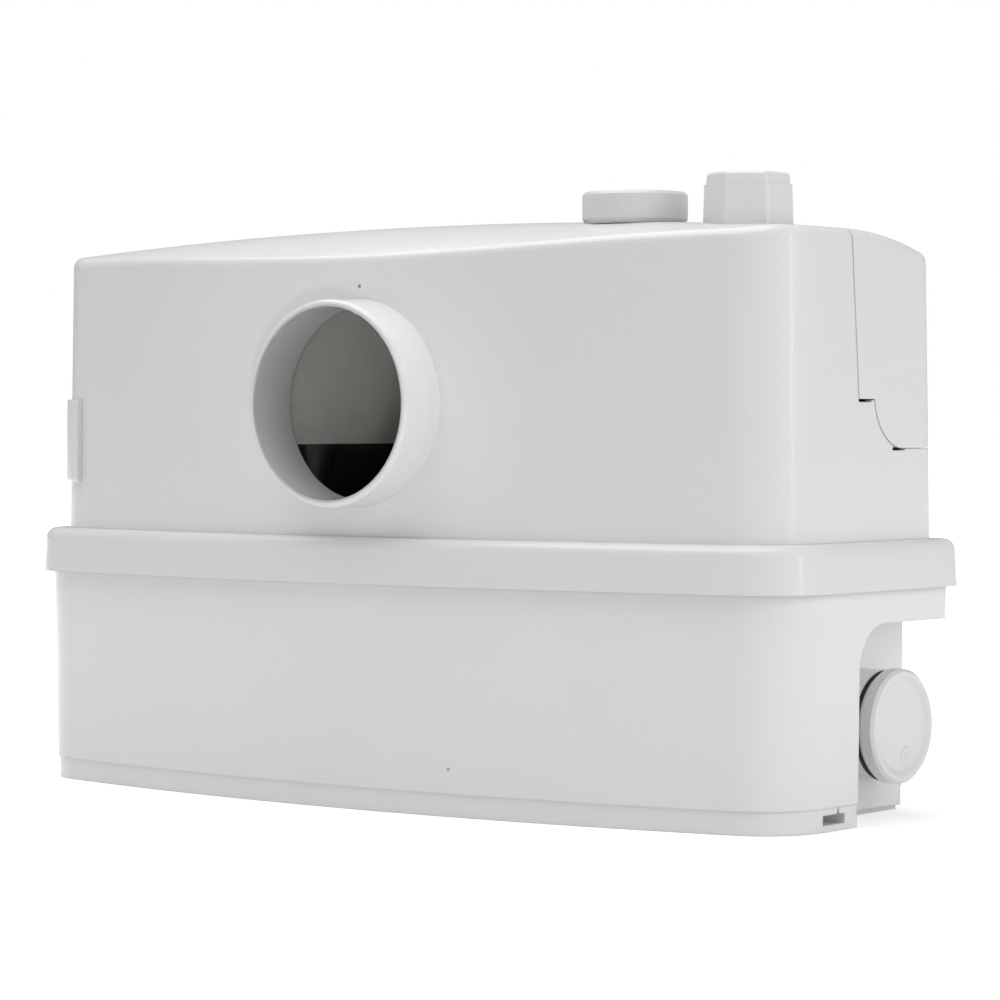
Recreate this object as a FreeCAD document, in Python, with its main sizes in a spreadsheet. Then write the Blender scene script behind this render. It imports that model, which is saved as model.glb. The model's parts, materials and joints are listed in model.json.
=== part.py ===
import FreeCAD, Part
import math
import os
import re
import Sketcher

# A compact sewage lifting station: +X right, -Y front, +Z up, origin on the floor under the middle.
os.makedirs("parts", exist_ok=True)
doc = FreeCAD.newDocument("LiftingStation")
sheet = doc.addObject("Spreadsheet::Sheet", "Sizes")
Vector = FreeCAD.Vector

# Driving sizes in millimetres and degrees; a size in quotes follows from the others
SIZES = {
    # overall shells
    "clearance": 0.3,
    "past": 40,
    "spare": 10,
    "wall": 3.5,
    "tank_width": 522,
    "tank_front": 73.4,
    "tank_back": 79,
    "tank_rim_height": 136,
    "tank_taper": 0.7,
    "tank_corner": 37,
    "tank_floor": 4,
    "hood_bow": 27,
    "tank_bow": 30,
    "rear_corner": 9,
    "plinth_height": 12,
    "plinth_inset": 0.8,
    "skirt_overlap": 16,
    "skirt_bottom": "tank_rim_height - skirt_overlap",
    "skirt_rise": 9,
    "skirt_top": "tank_rim_height + skirt_rise",
    "skirt_side": 6,
    "skirt_width": "tank_width + 2 * skirt_side",
    "skirt_ahead": 4.9,
    "skirt_front": "tank_front + skirt_ahead",
    "skirt_corner": 37,
    "skirt_behind": 7.5,
    "skirt_back": "tank_back + skirt_behind",
    "skirt_taper": 3,
    "skirt_round": 6,
    "skirt_wall": 2.8,
    "skirt_rear_grow": 4,
    "hood_side": 5.5,
    "hood_width": "tank_width - 2 * hood_side",
    "hood_ahead": 3.9,
    "hood_front": "tank_front - hood_ahead",
    "hood_corner": 38,
    "hood_behind": 4.5,
    "hood_back": "tank_back - hood_behind",
    "hood_taper": 0.7,
    "hood_rise": 175.5,
    "hood_height": "tank_rim_height + hood_rise",
    "crown_length_radius": 3800,
    "crown_sweep": 9,
    "crown_deep": 220,
    "crown_spare": 15,
    "crown_rim": 45,
    "crown_centre": 30,
    "shoulder_start": 51,
    "shoulder_radius": 62,
    "rear_crown_start": 4,
    "rear_crown_radius": 265,
    "top_round": 6,
    "seal_height": 4,
    # side recesses with their inlets
    "side_step": 29.5,
    "recess_wall": "tank_width / 2 - side_step",
    "recess_front": 10,
    "recess_height": 103,
    "recess_corner": 24,
    "side_port_depth": 40,
    "side_port_height": 48,
    # service cover seam seen from the side
    "seam_top_depth": 5,
    "seam_top_fall": 14,
    "seam_ledge_depth": 0,
    "seam_ledge_fall": 94,
    "seam_ledge_height": "hood_height - seam_ledge_fall",
    "seam_step_depth": 15,
    "seam_low_depth": 40,
    "seam_low_bulge": 6.5,
    "seam_step_fall": 25,
    "seam_low_height": "seam_ledge_height - seam_step_fall",
    "cover_gap": 0.6,
    "clip_slot_height": 0.9,
    "clip_slot_length": 12,
    "clip_slot_lead": 8,
    # inlet spigot for the toilet
    "spigot_radius": 55,
    "spigot_bore": 51.3,
    "spigot_fall": 95.5,
    "spigot_height": "hood_height - spigot_fall",
    "spigot_out": 24.5,
    "spigot_reach": "hood_front + hood_bow + spigot_out",
    "spigot_root": 6,
    "spigot_bed": 1.5,
    "spigot_edge": 1.5,
    # floor fixing slots
    "foot_slot_front": 41.5,
    "foot_slot_length": 20,
    "foot_slot_low": 3.5,
    "foot_slot_tall": 5,
    "foot_slot_deep": 14,
    "foot_block_wall": 3,
    "foot_notch_depth": 27.5,
    "foot_notch_half": 1.5,
    "foot_notch_tall": 4.5,
    "foot_notch_deep": 6,
    "edge_lift": 2.5,
    # raised pad on the left front corner
    "pad_fall": 139.5,
    "pad_low": "hood_height - pad_fall",
    "pad_tall": 47,
    "pad_high": "pad_low + pad_tall",
    "pad_proud": 2.6,
    "pad_draught": 0.6,
    "pad_round": 1.2,
    "pad_reach": 30,
    # ports and their caps
    "port_pitch": 71,
    "top_port_x": "outlet_x - port_pitch",
    "port_row_y": -38,
    "port_bore": 20,
    "port_stub": 22.7,
    "stub_bed": 20,
    "top_stub_out": 9,
    "top_port_height": "hood_height + top_stub_out",
    "side_stub": 26,
    "side_stub_out": 20,
    "side_stub_reach": "recess_wall + side_stub_out",
    "side_flange": 29,
    "side_flange_out": 13.5,
    "side_flange_reach": "recess_wall + side_flange_out",
    "outlet_inset": 19.5,
    "outlet_x": "recess_wall - outlet_inset",
    "outlet_stub": 17.5,
    "outlet_bore": 14,
    "outlet_stub_out": 8.5,
    "outlet_stub_height": "hood_height + outlet_stub_out",
    # screw caps, washers and the outlet nut
    "thread_gap": 0.5,
    "fit": 0.05,
    "running": 0.03,
    "washer_thick": 2,
    "cap_face": 3.2,
    "cap_height": "top_port_height + washer_thick + cap_face - top_cap_base",
    "top_cap_sink": 2.6,
    "top_cap_base": "hood_height - top_cap_sink",
    "top_cap_radius": 27.5,
    "side_cap_gap": 2,
    "side_cap_base": "side_flange_reach + side_cap_gap",
    "side_cap_face": 3.5,
    "side_cap_height": "side_stub_reach + washer_thick + side_cap_face - side_cap_base",
    "side_cap_radius": 30,
    "spot_gap": 0.6,
    "boss_wide": 5,
    "boss_deep": 16,
    "nut_spot": 1.5,
    "nut_sink": 7,
    "nut_base": "hood_height - nut_sink",
    "nut_neck": 11,
    "nut_height": "outlet_stub_height + washer_thick + nut_neck - nut_base",
    "nut_corners": 47.2,
    "nut_taper": 1.6,
    "nut_band_height": 6,
    "nut_band": "nut_height - nut_band_height",
    "nut_band_inset": 1,
    "nut_band_taper": 5,
    "nut_corner_round": 3,
    "nut_chamfer": 1.2,
    "outlet_pipe_radius": 16,
    # discharge pipe, check valve and riser
    "pipe_radius": 13,
    "pipe_bore": 10.5,
    "pipe_level": 26,
    "pipe_bend": 26,
    "pipe_socket": 14,
    "valve_low": 122,
    "valve_radius": 26,
    "valve_wall": 4,
    "valve_height": 76,
    "valve_seat": 14,
    "valve_flap_radius": 14.2,
    "flap_arm": 17.5,
    "flap_pivot_lift": 3.6,
    "pin_radius": 1.5,
    "pin_play": 0.06,
    "pin_bed": 0.02,
    "valve_pin": 17.2,
    "valve_pin_hole": 18,
    "valve_barrel": 11.6,
    "valve_lug": 2.6,
    "valve_joint": 8,
    "riser_radius": 13.7,
    "riser_bore": 11.5,
    "riser_gap": 8,
    "riser_top": "outlet_stub_height - riser_gap",
    # flap valves in the side inlets
    "side_flap_radius": 23,
    "side_flap_thick": 2.5,
    "side_pivot_up": 27,
    "side_pivot_out": 3.4,
    "side_pin": 22,
    "side_pin_hole": 24,
    "side_barrel": 14,
    "side_arm_half": 5,
    "ear_half": 3.2,
    "ear_thick": 3,
    "ear_near": 7.5,
    # pump and macerator
    "motor_gap": 7,
    "motor_x": "-(chute_half + motor_gap + motor_radius)",
    "volute_low": 8,
    "volute_height": 36,
    "volute_plate": 3.5,
    "volute_wall": 3.5,
    "volute_small": 34,
    "volute_step": 4,
    "volute_throat": 20,
    "volute_outlet": 48,
    "volute_eye": 18,
    "volute_foot": 6,
    "impeller_radius": 30,
    "impeller_hub": 10,
    "impeller_height": 24,
    "impeller_gap": 1,
    "shaft_radius": 5,
    "cutter_hub": 12,
    "cutter_radius": 43,
    "cutter_tall": 14,
    "cutter_blade": 3,
    # slotted basket
    "basket_low": 52,
    "basket_height": "deck_low - basket_low",
    "basket_left": "motor_x - motor_radius",
    "basket_past_chute": 1,
    "basket_right": "chute_half + basket_past_chute",
    "basket_half": 62,
    "basket_wall": 3,
    "basket_corner": 14,
    "slot_width": 5,
    "slot_count": 17,
    "floor_slot_count": 7,
    "floor_slot_run": 70,
    "floor_slot_start": 90,
    "floor_slot_inset": 18,
    "side_slot_low": 8,
    "side_slot_high": 10,
    # motor
    "motor_share": 0.216,
    "motor_radius": "recess_wall * motor_share",
    "motor_height": 100,
    "motor_wall": 2,
    "motor_floor": 3,
    "bearing_wall": 3,
    "stator_height": 62,
    "stator_lift": 18,
    "rotor_radius": 27,
    "bearing_radius": 13,
    "bearing_height": 9,
    "cap_deep": 14,
    "seal_radius": 12,
    "seal_drop": 22,
    "mount_thick": 4,
    "deck_motor_hole": 20,
    # deck, screws and chute
    "deck_low": "recess_height + wall",
    "deck_thick": 4,
    "deck_fit": "(deck_low - tank_floor) * tan(tank_taper) - clearance",
    "screw_radius": 1.75,
    "screw_head": 4,
    "screw_head_thick": 3,
    "screw_bite": 2,
    "screw_inset": 12,
    "screw_near": 15,
    "screw_far": 58,
    "chute_half": 61,
    "chute_wall": 3,
    "chute_flange": 3,
    "chute_rim": 5,
    "chute_corner": 12,
    "chute_ramp": 14,
    "shroud_front": 86,
    "shroud_rise": 69,
    "shroud_top": "spigot_height + shroud_rise",
    "chute_back_fall": 22,
    "chute_back": "spigot_height - chute_back_fall",
    "chute_front_fall": 58,
    "chute_front": "spigot_height - chute_front_fall",
    # controls on the deck
    "control_gap": 17,
    "control_left": "chute_half + control_gap",
    "control_clear": 34,
    "control_right": "outlet_x - control_clear",
    "control_front": 2,
    "control_back": 62,
    "control_height": 52,
    "control_wall": 2.5,
    "control_lid": 3,
    "control_corner": 4,
    "capacitor_inset": 15.5,
    "capacitor_x": "recess_wall - capacitor_inset",
    "capacitor_y": 32,
    "capacitor_radius": 16,
    "capacitor_height": 72,
    "clip_wall": 3,
    "clip_height": 12,
    "clip_floor": 2,
    "switch_inset": 23.5,
    "switch_x": "switch_inset - recess_wall",
    "switch_y": -22,
    "switch_radius": 19,
    "switch_height": 20,
    "switch_lift": 2,
    "switch_well": 5,
    "plunger_radius": 4,
    "dip_radius": 8,
    "dip_low": 22,
    "dip_wall": 1.6,
    "dip_collar": 5,
    "dip_collar_thick": 2,
    "vent_inset": 9.5,
    "vent_x": "vent_inset - recess_wall",
    "vent_y": 42,
    "vent_radius": 16,
    "vent_height": 29,
    "vent_wall": 7,
    "vent_ceiling": 22,
    "gland_past_motor": 32,
    "gland_x": "motor_x - gland_past_motor",
    "gland_fall": 143.5,
    "gland_z": "hood_height - gland_fall",
    "gland_radius": 10,
    "gland_neck": "gland_radius - 2",
    "gland_bore": 4,
    "gland_inside": 8,
    "gland_out": 9.5,
    "seal_grow": "(tank_rim_height - plinth_height) * tan(tank_taper)",
}


def fill_sheet():
    for row, (name, value) in enumerate(SIZES.items(), start=1):
        sheet.set(f"A{row}", name)
        sheet.set(f"B{row}", "=" + value if isinstance(value, str) else str(value))
        sheet.setAlias(f"B{row}", name)
    doc.recompute()


def formula(text):
    """Prefix every sheet name in an expression with the sheet's own name."""
    return re.sub(r"[a-z_][a-z0-9_]*", lambda hit: "Sizes." + hit[0] if hit[0] in SIZES else hit[0], str(text))


def size(text):
    return float(sheet.evalExpression(formula(text)))


def bind(item, **properties):
    for name, text in properties.items():
        item.setExpression(name, formula(text))


def place(item, x=0, y=0, z=0):
    for axis, text in zip("xyz", (x, y, z)):
        item.setExpression(f"Placement.Base.{axis}", formula(text))


def turn(item, axis, angle):
    item.Placement.Rotation = FreeCAD.Rotation(axis, angle)


X_AXIS, Y_AXIS, Z_AXIS = Vector(1, 0, 0), Vector(0, 1, 0), Vector(0, 0, 1)


# Bodies, sketches and features
def new_body(name):
    body = doc.addObject("PartDesign::Body", name)
    body.Label = name
    return body


def plane(body, role):
    return [item for item in body.Origin.OriginFeatures if item.Role == role][0]


def new_sketch(body, role, name="Profile", lift=0):
    sketch = body.newObject("Sketcher::SketchObject", name)
    sketch.AttachmentSupport = (plane(body, role), [""])
    sketch.MapMode = "FlatFace"
    if lift:
        sketch.setExpression("AttachmentOffset.Base.z", formula(lift))
    doc.recompute()
    return sketch


def pin_point(sketch, edge, end, across, along):
    """Tie one end of an edge to two sheet expressions."""
    for kind, text in (("DistanceX", across), ("DistanceY", along)):
        number = sketch.addConstraint(Sketcher.Constraint(kind, -1, 1, edge, end, size(text)))
        sketch.setExpression(f"Constraints[{number}]", formula(text))


def outline(sketch, *points):
    """Draw a closed outline. A point (x, y) ends a line, (x, y, bulge) ends an arc whose rise is bulge."""
    places = [Vector(size(point[0]), size(point[1]), 0) for point in points]
    first = sketch.GeometryCount
    for number, point in enumerate(points):
        start, end = places[number - 1], places[number]
        if len(point) == 3:
            chord = end - start
            side = Vector(chord.y, -chord.x, 0).normalize()
            rise = size(point[2])
            edge = Part.Arc(start, (start + end) * 0.5 + side * rise, end)
            sketch.addGeometry(edge, False)
        else:
            sketch.addGeometry(Part.LineSegment(start, end), False)
    for number, point in enumerate(points):
        edge = first + number
        if len(point) == 3:
            continue
        pin_point(sketch, edge, 2, point[0], point[1])
        pin_point(sketch, edge, 1, points[number - 1][0], points[number - 1][1])
    doc.recompute()
    return sketch


def circle(sketch, x, y, radius):
    edge = sketch.addGeometry(Part.Circle(Vector(size(x), size(y), 0), Z_AXIS, size(radius)), False)
    pin_point(sketch, edge, 3, x, y)
    number = sketch.addConstraint(Sketcher.Constraint("Radius", edge, size(radius)))
    sketch.setExpression(f"Constraints[{number}]", formula(radius))
    return edge


def rectangle(sketch, left, low, right, high):
    return outline(sketch, (left, low), (right, low), (right, high), (left, high))


def feature(body, kind, sketch, **properties):
    item = body.newObject("PartDesign::" + kind, kind)
    item.Profile = sketch
    for name, value in properties.items():
        if isinstance(value, str) and name in ("Length", "Length2", "Angle", "TaperAngle"):
            item.setExpression(name, formula(value))
        else:
            setattr(item, name, value)
    doc.recompute()
    return item


def pad(body, role, height, draw, lift=0, **properties):
    return feature(body, "Pad", draw(new_sketch(body, role, lift=lift)), Length=height, **properties)


def pocket(body, role, depth, draw, lift=0, **properties):
    return feature(body, "Pocket", draw(new_sketch(body, role, lift=lift)), Length=depth, **properties)


def turned(name, *points):
    """A piece turned about its own Z axis from half its section, given as radius and height."""
    body = new_body(name)
    sketch = outline(new_sketch(body, "XZ_Plane"), *points)
    feature(body, "Revolution", sketch, ReferenceAxis=(sketch, ["V_Axis"]), Angle=360.0)
    return body


def edges_where(shape, test):
    names = []
    for number, edge in enumerate(shape.Edges, start=1):
        if test(edge):
            names.append(f"Edge{number}")
    return names


def round_edges(body, radius, test, kind="Fillet"):
    base = body.Tip
    item = body.newObject("PartDesign::" + kind, kind)
    item.Base = (base, edges_where(base.Shape, test))
    item.setExpression("Radius" if kind == "Fillet" else "Size", formula(radius))
    doc.recompute()
    return item


def upright(edge):
    """True for an edge that runs mostly up."""
    start, end = edge.Vertexes[0].Point, edge.Vertexes[-1].Point
    return abs(end.z - start.z) > 0.9 * (end - start).Length > 1


def combine(kind, name, first, second):
    item = doc.addObject("Part::" + kind, name)
    item.Label = name
    item.Base, item.Tool = first, second
    doc.recompute()
    return item


def cut(name, first, *others):
    for number, other in enumerate(others):
        last = number == len(others) - 1
        first = combine("Cut", name if last else f"{name}_cut_{number}", first, other)
    return first


def common(name, first, second):
    return combine("Common", name, first, second)


def fuse(name, first, *others):
    item = doc.addObject("Part::MultiFuse", name)
    item.Label = name
    item.Shapes = [first, *others]
    item.Refine = True
    doc.recompute()
    return item


def box(name, x0, y0, z0, x1, y1, z1):
    item = doc.addObject("Part::Box", name)
    item.Label = name
    bind(item, Length=f"({x1})-({x0})", Width=f"({y1})-({y0})", Height=f"({z1})-({z0})")
    place(item, x0, y0, z0)
    return item


def cylinder(name, radius, height, x=0, y=0, z=0, axis=None):
    """A cylinder that starts at its place and runs along +Z, or along the axis given."""
    item = doc.addObject("Part::Cylinder", name)
    item.Label = name
    bind(item, Radius=radius, Height=height)
    if axis:
        item.Placement.Rotation = FreeCAD.Rotation(Z_AXIS, axis)
    place(item, x, y, z)
    return item


def cross_pin(name, radius, length, x, depth, z):
    """A cylinder along Y with its middle at the depth given."""
    return cylinder(name, radius, length, x, f"{depth} - ({length}) / 2", z, Y_AXIS)


def tube(name, outer, inner, height, x=0, y=0, z=0, axis=None):
    whole = cylinder(name + "_whole", outer, height, x, y, z, axis)
    bore = cylinder(name + "_bore", inner, height, x, y, z, axis)
    return cut(name, whole, bore)


# Moulded shells: both halves share one plan outline with a bowed front
def plan_outline(half, front, back, bow):
    def draw(sketch):
        return outline(
            sketch, (f"-({half})", f"-({front})"), (half, f"-({front})", bow),
            (half, back), (f"-({half})", back))
    return draw


def moulded_block(name, low, high, half, front, back, taper, corner, rear, bow="tank_bow"):
    """A block with a bowed front, draught on its sides and rounded upright corners."""
    body = new_body(name)
    pad(body, "XY_Plane", f"({high})-({low})", plan_outline(half, front, back, bow), lift=low,
        TaperAngle=taper)
    middle = size(back) * 0.5
    round_edges(body, corner, lambda edge: upright(edge) and edge.CenterOfMass.y < middle)
    round_edges(body, rear, lambda edge: upright(edge) and edge.CenterOfMass.y > middle)
    return body


def arc_drop(radius, reach):
    """How far an arc falls over a distance from the point where it starts level."""
    return f"({radius} - sqrt({radius}^2 - ({reach})^2))"


def arc_rise(radius, reach, drop):
    """How far that arc stands above its chord."""
    return f"({radius} - sqrt({radius}^2 - (({reach})^2 + {drop}^2) / 4))"


def crowned(name, block, inset):
    """Cut a block to the hood's crown: a rounded shoulder in front, a flatter fall behind."""
    body = new_body(name + "_crown")
    sketch = new_sketch(body, "YZ_Plane")
    low, top = "hood_height - crown_deep", f"(hood_height - ({inset}))"
    front_radius, rear_radius = f"(shoulder_radius - ({inset}))", f"(rear_crown_radius - ({inset}))"
    front_reach, rear_reach = f"({front_radius} * 0.9)", f"({rear_radius} * 0.4)"
    front_drop, rear_drop = arc_drop(front_radius, front_reach), arc_drop(rear_radius, rear_reach)
    front, rear = f"-shoulder_start - {front_reach}", f"{rear_reach} - rear_crown_start"
    outline(
        sketch, (front, low), (rear, low), (rear, f"{top} - {rear_drop}"),
        ("-rear_crown_start", top, arc_rise(rear_radius, rear_reach, rear_drop)), ("-shoulder_start", top),
        (front, f"{top} - {front_drop}", arc_rise(front_radius, front_reach, front_drop)))
    height = "hood_height - crown_length_radius"
    start, end = Vector(-size("spare"), size(height), 0), Vector(size("spare"), size(height), 0)
    axis = sketch.addGeometry(Part.LineSegment(start, end), True)
    pin_point(sketch, axis, 1, "-spare", height)
    pin_point(sketch, axis, 2, "spare", height)
    doc.recompute()
    feature(body, "Revolution", sketch, ReferenceAxis=(sketch, ["Axis0"]), Midplane=True, Angle="crown_sweep")
    place(body, "crown_centre")
    return common(name, block, body)


def fillet_shape(name, base, radius, test):
    item = doc.addObject("Part::Fillet", name)
    item.Label = name
    item.Base = base
    doc.recompute()
    item.Edges = [(int(edge[4:]), size(radius), size(radius)) for edge in edges_where(base.Shape, test)]
    doc.recompute()
    return item


def hood_form(name, inset, low, rounding):
    """The crowned upper body of the hood, from below its skirt to its rounded top edge."""
    block = moulded_block(
        name + "_block", low, "hood_height + crown_spare", f"hood_width / 2 - ({inset})",
        f"hood_front - ({inset})", f"hood_back - ({inset})", "-hood_taper", f"hood_corner - ({inset})",
        f"rear_corner - ({inset})", "hood_bow")
    whole = crowned(name + "_crowned", block, inset)
    rim_height = size("hood_height - crown_rim")
    return fillet_shape(name, whole, rounding,
                        lambda edge: edge.CenterOfMass.z > rim_height and not upright(edge))


def cover_region(name, gap):
    """The space of the rear service cover, drawn as its stepped seam seen from the side."""
    body = new_body(name)
    top, back = "hood_height + past", "hood_back + past"
    low, ledge = f"seam_low_height + ({gap}) / 3", f"seam_ledge_height + ({gap})"

    def draw(sketch):
        return outline(
            sketch, (f"({gap}) - seam_top_depth", top),
            (f"({gap}) - seam_top_depth", "hood_height - seam_top_fall"),
            (f"seam_ledge_depth + ({gap})", ledge), (f"seam_step_depth + ({gap})", ledge),
            (f"seam_low_depth + ({gap})", low, "seam_low_bulge"), (back, low), (back, top))
    pad(body, "YZ_Plane", "hood_width + 2 * past", draw, Midplane=True)
    return body


def skirt_form(name, inset, low, high, taper):
    return moulded_block(
        name, low, high, f"skirt_width / 2 - ({inset})", f"skirt_front - ({inset})",
        f"skirt_back - ({inset})", taper, f"skirt_corner - ({inset})",
        f"rear_corner + skirt_rear_grow - ({inset})")


def corner_pad():
    """The low raised pad moulded on the left front corner of the hood."""
    grow = "pad_proud - pad_draught"
    grown = moulded_block(
        "pad_block", "pad_low", "pad_high", f"hood_width / 2 + {grow}", f"hood_front + {grow}", "hood_back",
        "-hood_taper", f"hood_corner + {grow}", "rear_corner", "hood_bow")
    window = box("pad_window", "-hood_width", "-2 * hood_front", "pad_low", "pad_reach - hood_width / 2",
                 "pad_reach - hood_front", "pad_high")
    piece = common("pad_corner", grown, window)
    low, high = size("pad_low"), size("pad_high")
    inner_x, inner_y = size("pad_reach - hood_width / 2"), size("pad_reach - hood_front")

    def outer_rim(edge):
        centre = edge.CenterOfMass
        level = min(abs(centre.z - low), abs(centre.z - high)) < 0.1
        return level and centre.x < inner_x - 0.5 and centre.y < inner_y - 0.5
    return fillet_shape("pad_rounded", piece, "pad_round", outer_rim)


def spigot_parts():
    """The toilet inlet: a pipe end with a flared root, and the bore through the front wall."""
    length = "spigot_out + wall + spigot_bed"
    flare = turned(
        "spigot_outside", ("0", "0"), ("spigot_radius + spigot_root", "0"),
        ("spigot_radius", "spigot_root", "-spigot_root * (1 - cos(45))"),
        ("spigot_radius", f"{length} - spigot_edge"), ("spigot_radius - spigot_edge", length), ("0", length))
    place(flare, 0, f"{length} - spigot_reach", "spigot_height")
    turn(flare, X_AXIS, 90)
    bore = cylinder("spigot_passage", "spigot_bore", "spigot_reach", 0, "past - hood_front", "spigot_height",
                    -Y_AXIS)
    return flare, bore


def build_hood(outer, inner, region):
    skirt = skirt_form("skirt_block", "0", "skirt_bottom", "skirt_top", "-skirt_taper")
    top = size("skirt_top")
    round_edges(skirt, "skirt_round", lambda edge: abs(edge.CenterOfMass.z - top) < 0.1 and not upright(edge))
    hollow = skirt_form("skirt_hollow", "skirt_wall", "skirt_bottom - spare", "tank_rim_height + seal_height",
                        0)
    spigot, passage = spigot_parts()
    bed, low = "hood_height - stub_bed", "hood_height - past"
    top_stub = cylinder("top_stub", "port_stub", f"top_port_height - ({bed})", "top_port_x", "port_row_y",
                        bed)
    outlet_stub = cylinder("outlet_stub_pipe", "outlet_stub", f"outlet_stub_height - ({bed})", "outlet_x",
                           "port_row_y", bed)
    top_passage = cylinder("top_passage", "port_bore", "2 * past", "top_port_x", "port_row_y", low)
    outlet_passage = cylinder("outlet_passage", "outlet_bore", "2 * past", "outlet_x", "port_row_y", low)
    slots = []
    for number, (depth, height) in enumerate((("seam_ledge_depth", "seam_ledge_height"),
                                              ("seam_low_depth - clip_slot_lead", "seam_low_height"))):
        slots.append(box(f"clip_slot_{number}", "-hood_width", depth, f"{height} - clip_slot_height",
                         "hood_width", f"{depth} + clip_slot_length", f"{height} + 1"))
    outlet_boss = cylinder("outlet_boss", "nut_corners / 2 + boss_wide", "boss_deep", "outlet_x",
                           "port_row_y", "nut_base - boss_deep")
    seats = [cylinder("outlet_spot", "nut_corners / 2 + nut_spot", "past", "outlet_x", "port_row_y",
                      "nut_base - clearance"),
             cylinder("top_spot", "top_cap_radius + 1", "past", "top_port_x", "port_row_y",
                      "top_cap_base - spot_gap"),
             cylinder("gland_opening", "gland_neck + fit", "2 * past", "gland_x", "hood_back - past",
                      "gland_z", Y_AXIS)]
    shell = fuse("hood_solid", outer, skirt, spigot, corner_pad())
    shell = cut("hood_shell", shell, inner, hollow)
    shell = fuse("hood_bossed", shell, common("outlet_boss_inside", outlet_boss, outer))
    shell = cut("hood_spotted", shell, *seats)
    shell = fuse("hood_with_stubs", shell, top_stub, outlet_stub)
    return cut("hood", shell, passage, top_passage, outlet_passage, region, *slots)


def build_cover(outer, inner):
    space = cover_region("cover_space", "cover_gap")
    return common("service_cover", cut("cover_shell", outer, inner), space)


def recess_space(name, side, grow):
    """The step in the tank's side, open to the back and the floor, round at its upper front corner."""
    body = new_body(name)
    front, top, corner = f"-recess_front - ({grow})", f"recess_height + ({grow})", f"recess_corner + ({grow})"

    def draw(sketch):
        return outline(
            sketch, (front, "-spare"), ("tank_back + past", "-spare"), ("tank_back + past", top),
            (f"{front} + {corner}", top), (front, f"{top} - ({corner})", f"({corner}) * (1 - cos(45))"))
    start = f"recess_wall - ({grow})" if side > 0 else f"({grow}) - recess_wall - 2 * past"
    pad(body, "YZ_Plane", "2 * past", draw, lift=start)
    return body


def foot_notch(name, side):
    """A small pointed bite above each foot slot."""
    body = new_body(name)
    low, middle = "foot_slot_low + foot_slot_tall - 0.5", "-foot_notch_depth"

    def draw(sketch):
        return outline(sketch, (f"{middle} - foot_notch_half", low), (f"{middle} + foot_notch_half", low),
                       (middle, f"{low} + foot_notch_tall"))
    start = "tank_width / 2 - foot_notch_deep" if side > 0 else "-tank_width / 2 - foot_notch_deep"
    pad(body, "YZ_Plane", "2 * foot_notch_deep", draw, lift=start)
    return body


def side_box(name, side, near, far, y0, z0, y1, z1):
    low, high = (near, far) if side > 0 else (f"-({far})", f"-({near})")
    return box(name, low, y0, z0, high, y1, z1)


def build_tank():
    outer = moulded_block("tank_block", "plinth_height", "tank_rim_height", "tank_width / 2", "tank_front",
                          "tank_back", "tank_taper", "tank_corner", "rear_corner")
    plinth = moulded_block(
        "plinth_block", "0", "plinth_height", "tank_width / 2 - plinth_inset", "tank_front - plinth_inset",
        "tank_back - plinth_inset", 0, "tank_corner", "rear_corner")
    hollow = moulded_block(
        "tank_hollow", "tank_floor", "tank_rim_height + 5", "tank_width / 2 - wall - plinth_inset",
        "tank_front - wall - plinth_inset", "tank_back - wall - plinth_inset", "tank_taper",
        "tank_corner - wall", "rear_corner - wall")
    cuts, fills, stubs, bores = [], [], [], []
    for side, word in ((1, "right"), (-1, "left")):
        cuts.append(recess_space(f"recess_{word}", side, "0"))
        fills.append(recess_space(f"recess_wall_{word}", side, "wall"))
        cuts.append(side_box(f"foot_slot_{word}", side, "tank_width / 2 - foot_slot_deep", "tank_width",
                             "-foot_slot_front", "foot_slot_low", "foot_slot_length - foot_slot_front",
                             "foot_slot_low + foot_slot_tall"))
        fills.append(side_box(
            f"foot_block_{word}", side, "tank_width / 2 - foot_slot_deep - foot_block_wall", "tank_width",
            "-foot_slot_front - foot_block_wall", "0", "foot_slot_length - foot_slot_front + foot_block_wall",
            "foot_slot_low + foot_slot_tall + foot_block_wall"))
        start = "recess_wall - 1" if side > 0 else "1 - recess_wall"
        axis = X_AXIS * side
        stubs.append(cylinder(f"side_stub_{word}", "side_stub", "side_stub_reach - recess_wall + 1", start,
                              "side_port_depth", "side_port_height", axis))
        stubs.append(cylinder(f"side_flange_{word}", "side_flange", "side_flange_reach - recess_wall + 1",
                              start, "side_port_depth", "side_port_height", axis))
        cuts.append(foot_notch(f"foot_notch_{word}", side))
        cuts.append(side_box(f"raised_edge_{word}", side, "recess_wall - 3", "tank_width",
                             "5 - recess_front", "-spare", "tank_back + past", "edge_lift"))
        inside = "recess_wall - past" if side > 0 else "past - recess_wall"
        bores.append(cylinder(f"side_bore_{word}", "port_bore", "3 * past", inside, "side_port_depth",
                              "side_port_height", axis))
    hollow = cut("tank_inside", hollow, *fills)
    shell = cut("tank_shell", fuse("tank_solid", outer, plinth), *cuts, hollow)
    for side, word in ((1, "right"), (-1, "left")):
        ears, hole = flap_lugs(side, word)
        stubs += ears
        bores.append(hole)
    for number, (x, y) in enumerate(screw_places()):
        bores.append(cylinder(f"shelf_hole_{number}", "screw_radius + fit", "spare", x, y,
                              "deck_low - screw_bite - 0.2"))
    return cut("tank", fuse("tank_with_stubs", shell, *stubs), *bores)


def build_shells():
    outer = hood_form("hood_outer", "0", "skirt_top - wall", "top_round")
    inner = hood_form("hood_inner", "wall", "skirt_bottom - spare", "top_round - wall")
    hood = build_hood(outer, inner, cover_region("cover_opening", "0"))
    return hood, build_cover(outer, inner), build_tank()


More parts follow.
